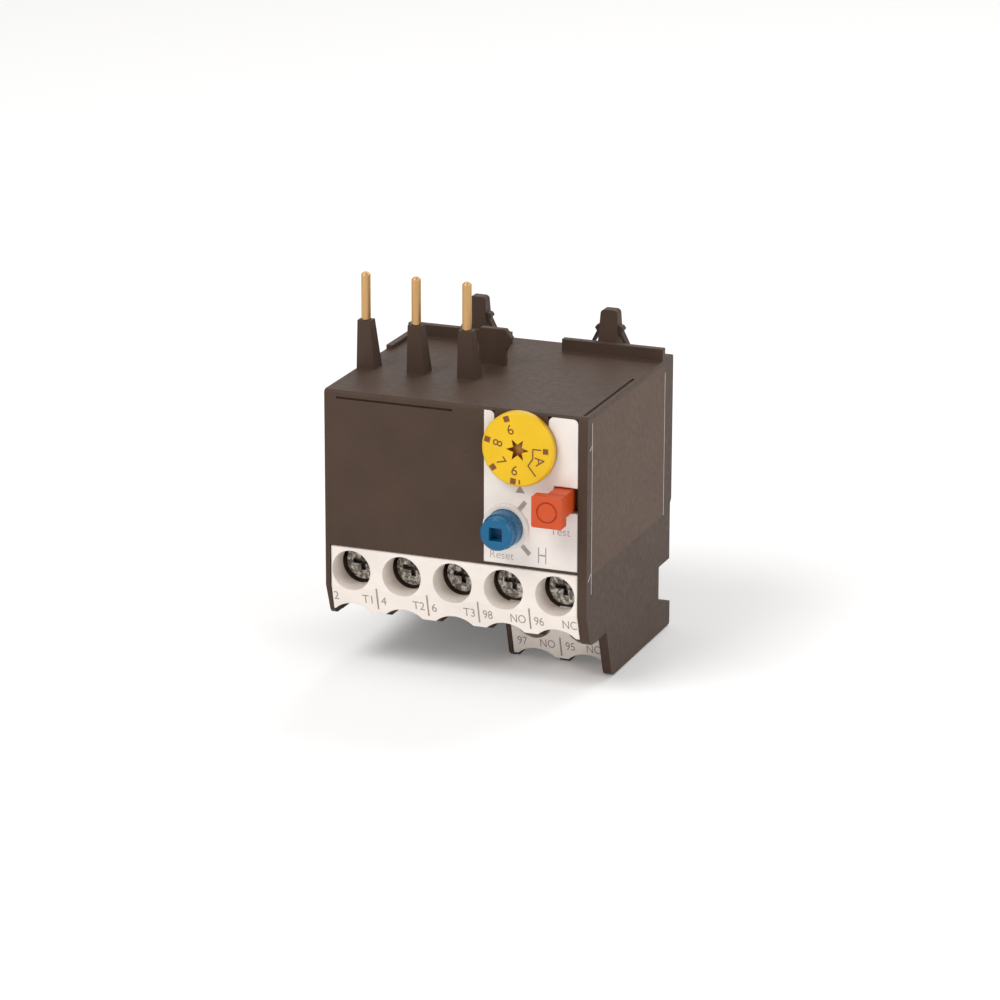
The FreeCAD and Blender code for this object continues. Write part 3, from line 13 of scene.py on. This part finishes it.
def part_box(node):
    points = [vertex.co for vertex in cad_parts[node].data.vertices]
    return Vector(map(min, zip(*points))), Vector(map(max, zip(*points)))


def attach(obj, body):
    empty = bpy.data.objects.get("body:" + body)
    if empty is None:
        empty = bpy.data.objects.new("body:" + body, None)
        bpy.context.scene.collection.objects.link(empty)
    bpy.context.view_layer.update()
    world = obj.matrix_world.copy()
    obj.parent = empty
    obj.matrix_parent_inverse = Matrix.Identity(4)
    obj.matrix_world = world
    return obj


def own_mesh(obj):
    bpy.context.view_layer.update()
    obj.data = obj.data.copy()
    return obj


MM = 0.001
FRONT = -14.3          # Y of the front face; the origin is on the contact pins' line
SIDE = 22.5            # X of the right side
PITCH = 8.8            # between two terminals
FIRST_TERMINAL = -18.1     # X of the leftmost terminal's middle
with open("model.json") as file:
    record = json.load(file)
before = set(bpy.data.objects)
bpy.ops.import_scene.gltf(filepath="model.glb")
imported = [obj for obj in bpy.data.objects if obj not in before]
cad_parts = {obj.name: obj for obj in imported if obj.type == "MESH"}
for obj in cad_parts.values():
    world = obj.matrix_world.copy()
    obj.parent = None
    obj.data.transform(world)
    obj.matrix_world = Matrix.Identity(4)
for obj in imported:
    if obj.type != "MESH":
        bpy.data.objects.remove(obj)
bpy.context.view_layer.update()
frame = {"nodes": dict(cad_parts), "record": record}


def linear(value):
    """Display value 0-255 to the linear value that shaders take."""
    v = value / 255
    return v / 12.92 if v <= 0.04045 else ((v + 0.055) / 1.055) ** 2.4


def colour(red, green, blue):
    return (linear(red), linear(green), linear(blue), 1.0)


# ---------------------------------------------------------------- materials

# Noise scales, per metre: from patches of some millimetres to a grain of a few tenths.
MOTTLE, SHEEN, WEAR, STREAKS, GRAIN = 130.0, 900.0, 1500.0, 2400.0, 3800.0
DENTS = 1700.0         # scale of the screw heads' scuffs
WARM_SHEEN = (1.0, 0.84, 0.74, 1.0)


class Look:
    """A principled material with short calls that add and wire nodes."""

    def __init__(self, name):
        self.material = bpy.data.materials.new(name)
        self.material.use_nodes = True
        self.tree = self.material.node_tree
        self.surface = self.tree.nodes["Principled BSDF"]
        self.place = self.node("TexCoord").outputs["Object"]

    def node(self, kind, settings=None, **inputs):
        node = self.tree.nodes.new("ShaderNode" + kind)
        for key, value in (settings or {}).items():
            setattr(node, key, value)
        for key, value in inputs.items():
            self.put(node.inputs[key.replace("_", " ")], value)
        return node

    def put(self, socket, value):
        if isinstance(value, bpy.types.NodeSocket):
            self.tree.links.new(value, socket)
        else:
            socket.default_value = value

    def set(self, **inputs):
        for key, value in inputs.items():
            self.put(self.surface.inputs[key.replace("_", " ")], value)

    def multiply(self, first, second):
        node = self.node("Math", {"operation": "MULTIPLY"})
        self.put(node.inputs[0], first)
        self.put(node.inputs[1], second)
        return node.outputs[0]

    def noise(self, scale, stretch=(1, 1, 1), detail=3.0):
        moved = self.node("Mapping", Vector=self.place, Scale=stretch)
        noise = self.node("TexNoise", Vector=moved.outputs[0], Scale=scale, Detail=detail)
        return noise.outputs[0]

    def spread(self, value, low, high, out_low, out_high):
        node = self.node("MapRange", {"clamp": True})
        self.put(node.inputs["Value"], value)
        for name, number in (("From Min", low), ("From Max", high),
                             ("To Min", out_low), ("To Max", out_high)):
            self.put(node.inputs[name], number)
        return node.outputs[0]

    def blend(self, factor, first, second, mode="MIX"):
        node = self.node("Mix", {"data_type": "RGBA", "blend_type": mode})
        self.put(node.inputs["Factor"], factor)
        self.put(node.inputs["A"], first)
        self.put(node.inputs["B"], second)
        return node.outputs["Result"]

    def shaded(self, tint, shade):
        """A tint, darker or lighter as the grey value shade says."""
        grey = self.node("CombineColor", Red=shade, Green=shade, Blue=shade)
        return self.blend(1.0, tint, grey.outputs[0], "MULTIPLY")

    def relief(self, height, strength, distance_m, edge_m):
        """Bump over softly rounded edges."""
        edge = self.node("Bevel", {"samples": 6}, Radius=edge_m)
        bump = self.node("Bump", Height=height, Strength=strength, Distance=distance_m,
                         Normal=edge.outputs[0])
        self.set(Normal=bump.outputs[0])

    def hollows(self, reach_m):
        """0 in corners and recesses, 1 on open faces."""
        node = self.node("AmbientOcclusion", {"samples": 6}, Distance=reach_m)
        return node.outputs["AO"]


def plastic(name, tint, rough, grain=0.12, edge=0.22, shine=0.5):
    """Moulded plastic: faint mottling, a fine moulded grain and soft edges."""
    look = Look(name)
    look.base = look.shaded(tint, look.spread(look.noise(MOTTLE), 0.3, 0.7, 0.93, 1.06))
    sheen = look.spread(look.noise(SHEEN), 0.3, 0.7, rough - 0.05, rough + 0.06)
    look.set(Base_Color=look.base, Roughness=sheen, Specular_IOR_Level=shine)
    look.relief(look.noise(GRAIN, detail=2.0), grain, 0.0001, edge * MM)
    return look


def metal(name, tint, rough, stretch=(1, 1, 1), hollow_shade=0.55):
    """Metal with drawn or turned streaks, darkened in its hollows by painted shade."""
    look = Look(name)
    streaks = look.noise(STREAKS, stretch, detail=4.0)
    # painted shade: the colour darkens in corners and recesses
    painted_shade = look.spread(look.hollows(0.0012), 0.25, 0.9, hollow_shade, 1.0)
    wave = look.spread(streaks, 0.3, 0.7, 0.86, 1.08)
    look.set(Base_Color=look.shaded(tint, look.multiply(painted_shade, wave)), Metallic=1.0,
             Roughness=look.spread(streaks, 0.3, 0.7, rough - 0.06, rough + 0.1))
    look.relief(streaks, 0.12, 0.00006, 0.12 * MM)
    return look


def casing_look():
    """Grey-brown casing with a dull, warm sheen."""
    look = plastic("casing", colour(76, 61, 52), 0.5, grain=0.2, edge=0.16, shine=0.13)
    look.set(Specular_Tint=WARM_SHEEN)
    return look


def dial_look():
    """Yellow plastic, brown where the driver's recess lies in shade."""
    look = plastic("dial", colour(232, 186, 12), 0.4, shine=0.35)
    recess = look.spread(look.hollows(0.0016), 0.62, 0.93, 1.0, 0.0)
    look.set(Base_Color=look.blend(recess, look.base, colour(150, 88, 30)))
    return look


def screw_look():
    """Passivated steel with blotches and scuffs, and painted shade darkening the recess."""
    look = Look("screw_steel")
    blotch = look.spread(look.noise(WEAR, detail=5.0), 0.44, 0.6, 0.3, 1.0)
    # painted shade: the colour darkens in the recess and round the head
    recess_shade = look.spread(look.hollows(0.0009), 0.45, 0.95, 0.42, 1.0)
    streaks = look.spread(look.noise(STREAKS, detail=4.0), 0.3, 0.7, 0.24, 0.4)
    tint = look.shaded(colour(214, 208, 198), look.multiply(blotch, recess_shade))
    look.set(Base_Color=tint, Metallic=0.9, Roughness=streaks)
    look.relief(look.noise(DENTS, detail=4.0), 1.0, 0.0004, 0.25 * MM)
    return look


def ink(name, tint):
    """Printed ink, a little uneven."""
    look = Look(name)
    wear = look.spread(look.noise(WEAR), 0.35, 0.65, 0.85, 1.1)
    look.set(Base_Color=look.shaded(tint, wear), Roughness=0.5)
    return look.material


LOOKS = {
    "casing": casing_look(),
    "white_cover": plastic("white_cover", colour(240, 230, 221), 0.4),
    "panel": plastic("panel", colour(234, 226, 219), 0.4),
    "dial": dial_look(),
    "mechanism": plastic("mechanism", colour(196, 192, 182), 0.45),
    "selector_ring": plastic("selector_ring", colour(236, 228, 220), 0.38),
    "blue_button": plastic("blue_button", colour(0, 92, 134), 0.26, grain=0.06, shine=0.35),
    "orange_button": plastic("orange_button", colour(206, 78, 28), 0.36, shine=0.35),
    "spring_steel": metal("spring_steel", colour(200, 200, 200), 0.3),
    "pin_metal": metal("pin_metal", colour(196, 156, 106), 0.3, (1, 1, 0.04), hollow_shade=0.6),
    "bimetal": metal("bimetal", colour(186, 176, 160), 0.36, (1, 1, 0.05)),
    "heater_wire": metal("heater_wire", colour(150, 138, 126), 0.45),
    "screw_steel": screw_look(),
    "clamp_steel": metal("clamp_steel", colour(170, 164, 154), 0.38, (0.1, 1, 1)),
    "contact_metal": metal("contact_metal", colour(204, 158, 92), 0.36, (0.1, 1, 1)),
}
MARK = ink("panel_print", colour(168, 154, 148))
THIN_MARK = ink("label_print", colour(156, 141, 133))
DIAL_MARK = ink("dial_print", colour(120, 72, 24))
PALE_MARK = ink("side_print", colour(196, 180, 172))
FIELD = plastic("data_field", colour(88, 67, 54), 0.45, shine=0.1).material
MOULD_MARK = ink("mould_mark", colour(58, 47, 40))


def dress_nodes():
    slots = {row["node"]: row["material_slot"] for row in frame["record"]["subparts"]}
    for name, node in frame["nodes"].items():
        node.data.materials.clear()
        node.data.materials.append(LOOKS[slots[name]].material)


# Each spring: the joint whose piece presses it, its line, its seated end and the travel.
NEAR_END, FAR_END = 0, 1
SPRINGS = {
    "reset_spring": ("reset_press", (0, 1, 0), FAR_END, 2.5),
    "test_spring": ("test_press", (0, 1, 0), FAR_END, 2.0),
    "carrier_spring": ("carrier_travel", (0, 0, 1), NEAR_END, 2.0),
}


def squash_springs():
    """Gives each spring its own copy of its mesh; nothing is shortened."""
    for name, (joint, line, seat, travel) in SPRINGS.items():
        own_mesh(frame["nodes"][name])


# ---------------------------------------------------------------- printed marks

INK_LIFT = 0.012       # printed marks lie this far over their face
LINE = 0.22            # usual width of a printed line
CAPITAL = 0.73         # a capital's height as a share of the font's size


class Face:
    """A flat place for marks: an origin, a right and an up direction."""

    def __init__(self, origin, right, up, body, look, lift=INK_LIFT):
        self.right = Vector(right).normalized()
        self.up = Vector(up).normalized()
        self.out = self.right.cross(self.up)
        self.origin = Vector(origin) + self.out * lift
        self.body = body
        self.look = look

    def matrix(self, u, v, turn=0.0):
        place = (self.origin + self.right * u + self.up * v) * MM
        axes = Matrix((self.right, self.up, self.out)).transposed().to_4x4()
        return Matrix.Translation(place) @ axes @ Matrix.Rotation(turn, 4, "Z")

    def add(self, mesh, name, matrix, look=None):
        thing = bpy.data.objects.new(name, mesh)
        bpy.context.scene.collection.objects.link(thing)
        thing.matrix_world = matrix
        mesh.materials.clear()
        mesh.materials.append(look or self.look)
        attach(thing, self.body)

    def text(self, words, u, v, height, name, turn=0.0, thin=0.0, wide=1.0):
        """Lettering of a capital height, centred on (u, v)."""
        curve = bpy.data.curves.new(name, "FONT")
        curve.body = words
        curve.size = height * MM / CAPITAL
        curve.align_x = "CENTER"
        curve.align_y = "CENTER"
        curve.offset = -thin * MM
        carrier = bpy.data.objects.new(name + "_text", curve)
        bpy.context.scene.collection.objects.link(carrier)
        bpy.context.view_layer.update()
        mesh = bpy.data.meshes.new_from_object(carrier)
        bpy.data.objects.remove(carrier)
        self.add(mesh, name, self.matrix(u, v, turn) @ Matrix.Diagonal((wide, 1, 1, 1)))

    def shape(self, corners, name, look=None, u=0.0, v=0.0, turn=0.0):
        """A flat polygon."""
        mesh = bpy.data.meshes.new(name)
        points = [(x * MM, y * MM, 0) for x, y in corners]
        mesh.from_pydata(points, [], [tuple(range(len(points)))])
        self.add(mesh, name, self.matrix(u, v, turn), look)

    def line(self, start, end, width, name):
        a, b = Vector(start), Vector(end)
        side = (b - a).normalized().orthogonal() * width / 2
        self.shape([tuple(a + side), tuple(a - side), tuple(b - side), tuple(b + side)], name)


def square(size):
    """Corners of a square round (0, 0)."""
    half = size / 2
    return [(-half, -half), (half, -half), (half, half), (-half, half)]


def front_face(body, depth, look):
    return Face((0, FRONT + depth, 0), (1, 0, 0), (0, 0, 1), body, look)


def leaning_face(node, height, lean):
    """Front of a terminal cover's lower edge, which leans back by an angle."""
    front = (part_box(node)[0] / MM).y
    return Face((0, front, height), (1, 0, 0), (0, -math.sin(lean), math.cos(lean)), "casing",
                THIN_MARK)


def panel_marks():
    """Pointer of the dial, the two positions of the selector ring and plain words."""
    face = front_face("casing", (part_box("setting_panel")[0] / MM).y - FRONT, MARK)
    x, z = 11.17, -12.3
    face.shape([(x - 0.8, z - 1.25), (x + 0.8, z - 1.25), (x, z)], "dial_pointer", THIN_MARK)
    bar = 0.75
    face.line((12.1, -14.93), (10.77, -16.7), bar, "position_bar_upper")
    face.line((11.51, -22.27), (12.86, -23.63), bar, "position_bar_lower")
    x, z, radius = 2.0, -8.35, 0.3
    mark = [(x + radius * math.cos(k), z + radius * math.sin(k)) for k in range(6)]
    front_face("casing", 0.0, MOULD_MARK).shape(mark, "mould_mark")
    face.text("H", 14.97, -23.7, 3.0, "hand_letter", thin=0.05, wide=0.62)
    face.text("Test", 18.0, -19.25, 1.4, "test_word", thin=0.02)
    face.text("Reset", 8.05, -24.3, 1.35, "reset_word", thin=0.02)


def dial_marks():
    """A plain scale: digits with square ticks, and the plain letter of the unit."""
    low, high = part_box("current_dial")
    middle = (low + high) / 2 / MM
    radius = (high.x - low.x) / 2 / MM
    face = Face((middle.x, low.y / MM, middle.z), (1, 0, 0), (0, 0, 1), "dial", DIAL_MARK)
    height = 1.7
    for digit, angle in (("6", 262), ("7", 218), ("8", 166), ("9", 111)):
        turn = math.radians(angle)
        direction = Vector((math.cos(turn), math.sin(turn)))
        spot = direction * radius * 0.86
        face.shape(square(0.95), f"tick_{digit}", u=spot.x, v=spot.y, turn=turn)
        spot = direction * radius * 0.58
        face.text(digit, spot.x, spot.y, height, f"digit_{digit}", turn=turn + math.pi / 2)
    face.line((0.35, -5.6), (0.35, -4.9), 0.25, "index_line")
    end = Vector((math.cos(0.05), math.sin(0.05))) * radius * 0.78
    face.shape(square(0.9), "tick_end", u=end.x, v=end.y)
    path = [(4.0, 0.4), (2.6, 0.4), (2.6, -1.2), (1.8, -2.4), (3.1, -4.0)]
    for number, (start, stop) in enumerate(zip(path, path[1:])):
        face.line(start, stop, LINE, f"bracket_{number}")
    face.text("A", 3.7, -1.5, height, "unit_letter", turn=math.radians(-80))


# Marks of each terminal with their places left and right of its middle, and their width.
UPPER_MARKS = (("2", -2.85, "T1", 2.8, 0.9), ("4", -3.3, "T2", 2.8, 0.9),
               ("6", -3.3, "T3", 2.8, 0.9), ("98", -2.85, "NO", 2.35, 0.8),
               ("96", -2.85, "NC", 2.35, 0.8))
LOWER_MARKS = (("97", -2.3, "NO", 2.1, 0.8), ("95", -2.7, "NC", 1.3, 0.8))
LOWER_FIRST = 3        # the lower row starts under this upper terminal, counted from 0


def label_marks():
    """Terminal marks on the two covers' leaning lower edges."""
    height, divider = 1.6, 0.28
    face = leaning_face("terminal_cover", -33.0, math.atan2(1.1, 4.3))
    for index, (left, left_u, right, right_u, wide) in enumerate(UPPER_MARKS):
        x = FIRST_TERMINAL + index * PITCH
        face.text(left, x + left_u, -2.0, height, f"mark_{left}", wide=wide)
        face.text(right, x + right_u, -2.0, height, f"mark_{right}", wide=wide)
        if index < len(UPPER_MARKS) - 1:
            x += PITCH / 2
            face.line((x, 0.3), (x, -3.6), divider, f"divider_{index}")
    face = leaning_face("lower_terminal_cover", -38.9, math.atan2(2.1, 7.3))
    for index, (left, left_u, right, right_u, wide) in enumerate(LOWER_MARKS):
        x = FIRST_TERMINAL + (index + LOWER_FIRST) * PITCH
        face.text(left, x + left_u, -5.1, height, f"mark_{left}", wide=wide)
        face.text(right, x + right_u, -5.1, height, f"lower_mark_{right}", wide=wide)
    x = FIRST_TERMINAL + (LOWER_FIRST + 0.5) * PITCH
    face.line((x, -3.5), (x, -7.1), divider, "divider_lower")


def side_marks():
    """The bare data field on the right side, between two thin lines, one with ticks."""
    top, bottom, left, right = -0.8, -26.75, 2.2, 36.7
    place, across, up = (SIDE, FRONT, 0), (0, 1, 0), (0, 0, 1)
    face = Face(place, across, up, "casing", PALE_MARK)
    field = Face(place, across, up, "casing", FIELD, INK_LIFT / 2)
    field.shape([(left, bottom), (right, bottom), (right, top), (left, top)], "data_field")
    face.line((left, top - 0.6), (left, bottom - 3.0), LINE, "field_front")
    face.line((right, top - 1.4), (right, bottom), LINE, "field_rear")
    face.line((left, top - 4.2), (left - 1.1, top - 4.9), LINE, "field_tick_upper")
    face.line((left, bottom + 0.6), (left - 1.5, bottom - 0.5), LINE, "field_tick_lower")


# ---------------------------------------------------------------- stage

# Area lamps: place and aim in metres, width and height in metres, power in watts.
LAMPS = {
    "key": ((-0.35, -0.6, 0.75), (0, 0, -0.02), (0.5, 0.5), 5.2),
    "fill": ((0.8, -0.35, 0.35), (0, 0, -0.02), (0.5, 0.6), 2.25),
    "back": ((0.1, 0.6, 0.7), (0, 0, 0), (0.6, 0.3), 2.2),
}
FLOOR_GAP_m = 0.0002   # the floor lies this far under the relay
SKY, SKY_STRENGTH = (1.0, 0.985, 0.97, 1.0), 0.42


def add_floor():
    low = min(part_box(node)[0].z for node in frame["nodes"])
    bpy.ops.mesh.primitive_plane_add(size=6, location=(0, 0, low - FLOOR_GAP_m))
    floor = bpy.context.object
    floor.name = "floor"
    look = Look("floor")
    look.set(Base_Color=colour(252, 252, 252), Roughness=0.9, Emission_Color=(1, 1, 1, 1),
             Emission_Strength=0.14)
    floor.data.materials.append(look.material)


def add_lamps():
    for name, (place, target, size, power) in LAMPS.items():
        data = bpy.data.lights.new(name, "AREA")
        data.shape = "RECTANGLE"
        data.size, data.size_y = size
        data.energy = power
        lamp = bpy.data.objects.new(name, data)
        bpy.context.scene.collection.objects.link(lamp)
        lamp.location = place
        aim = Vector(target) - Vector(place)
        lamp.rotation_euler = aim.to_track_quat("-Z", "Y").to_euler()


def add_world():
    """Plain soft light; the camera, gloss and glass see it as white."""
    world = bpy.data.worlds.new("studio")
    bpy.context.scene.world = world
    world.use_nodes = True
    tree = world.node_tree
    soft = tree.nodes["Background"]
    soft.inputs["Color"].default_value = SKY
    soft.inputs["Strength"].default_value = SKY_STRENGTH
    white = tree.nodes.new("ShaderNodeBackground")
    white.inputs["Color"].default_value = (1.0, 1.0, 1.0, 1.0)
    white.inputs["Strength"].default_value = 1.0
    rays = tree.nodes.new("ShaderNodeLightPath")
    seen = rays.outputs["Is Camera Ray"]
    for kind in ("Is Glossy Ray", "Is Transmission Ray"):
        either = tree.nodes.new("ShaderNodeMath")
        either.operation = "MAXIMUM"
        tree.links.new(seen, either.inputs[0])
        tree.links.new(rays.outputs[kind], either.inputs[1])
        seen = either.outputs[0]
    pick = tree.nodes.new("ShaderNodeMixShader")
    tree.links.new(seen, pick.inputs[0])
    tree.links.new(soft.outputs[0], pick.inputs[1])
    tree.links.new(white.outputs[0], pick.inputs[2])
    tree.links.new(pick.outputs[0], tree.nodes["World Output"].inputs["Surface"])


def add_camera():
    """A long lens, above the object and to its right, that looks down at its middle."""
    azimuth, elevation, roll = (math.radians(a) for a in (21.29, 17.523, 0.144))
    distance, to_right, down = 703.695, 7.208, 15.263
    back = Vector((math.sin(azimuth) * math.cos(elevation),
                   -math.cos(azimuth) * math.cos(elevation), math.sin(elevation)))
    level = Vector((math.cos(azimuth), math.sin(azimuth), 0))
    upright = back.cross(level)
    right = level * math.cos(roll) + upright * math.sin(roll)
    up = upright * math.cos(roll) - level * math.sin(roll)
    middle = Vector((0, FRONT, 0))
    place = middle + back * distance + right * to_right - up * down
    data = bpy.data.cameras.new("camera")
    data.lens = 160.03
    data.sensor_width = 36.0
    data.clip_end = 20.0
    camera = bpy.data.objects.new("camera", data)
    axes = Matrix((right, up, back)).transposed().to_4x4()
    camera.matrix_world = Matrix.Translation(place * MM) @ axes
    bpy.context.scene.collection.objects.link(camera)
    bpy.context.scene.camera = camera
    bpy.context.scene.view_settings.view_transform = "Standard"


dress_nodes()
squash_springs()
panel_marks()
dial_marks()
label_marks()
side_marks()
add_floor()
add_world()
add_lamps()
add_camera()
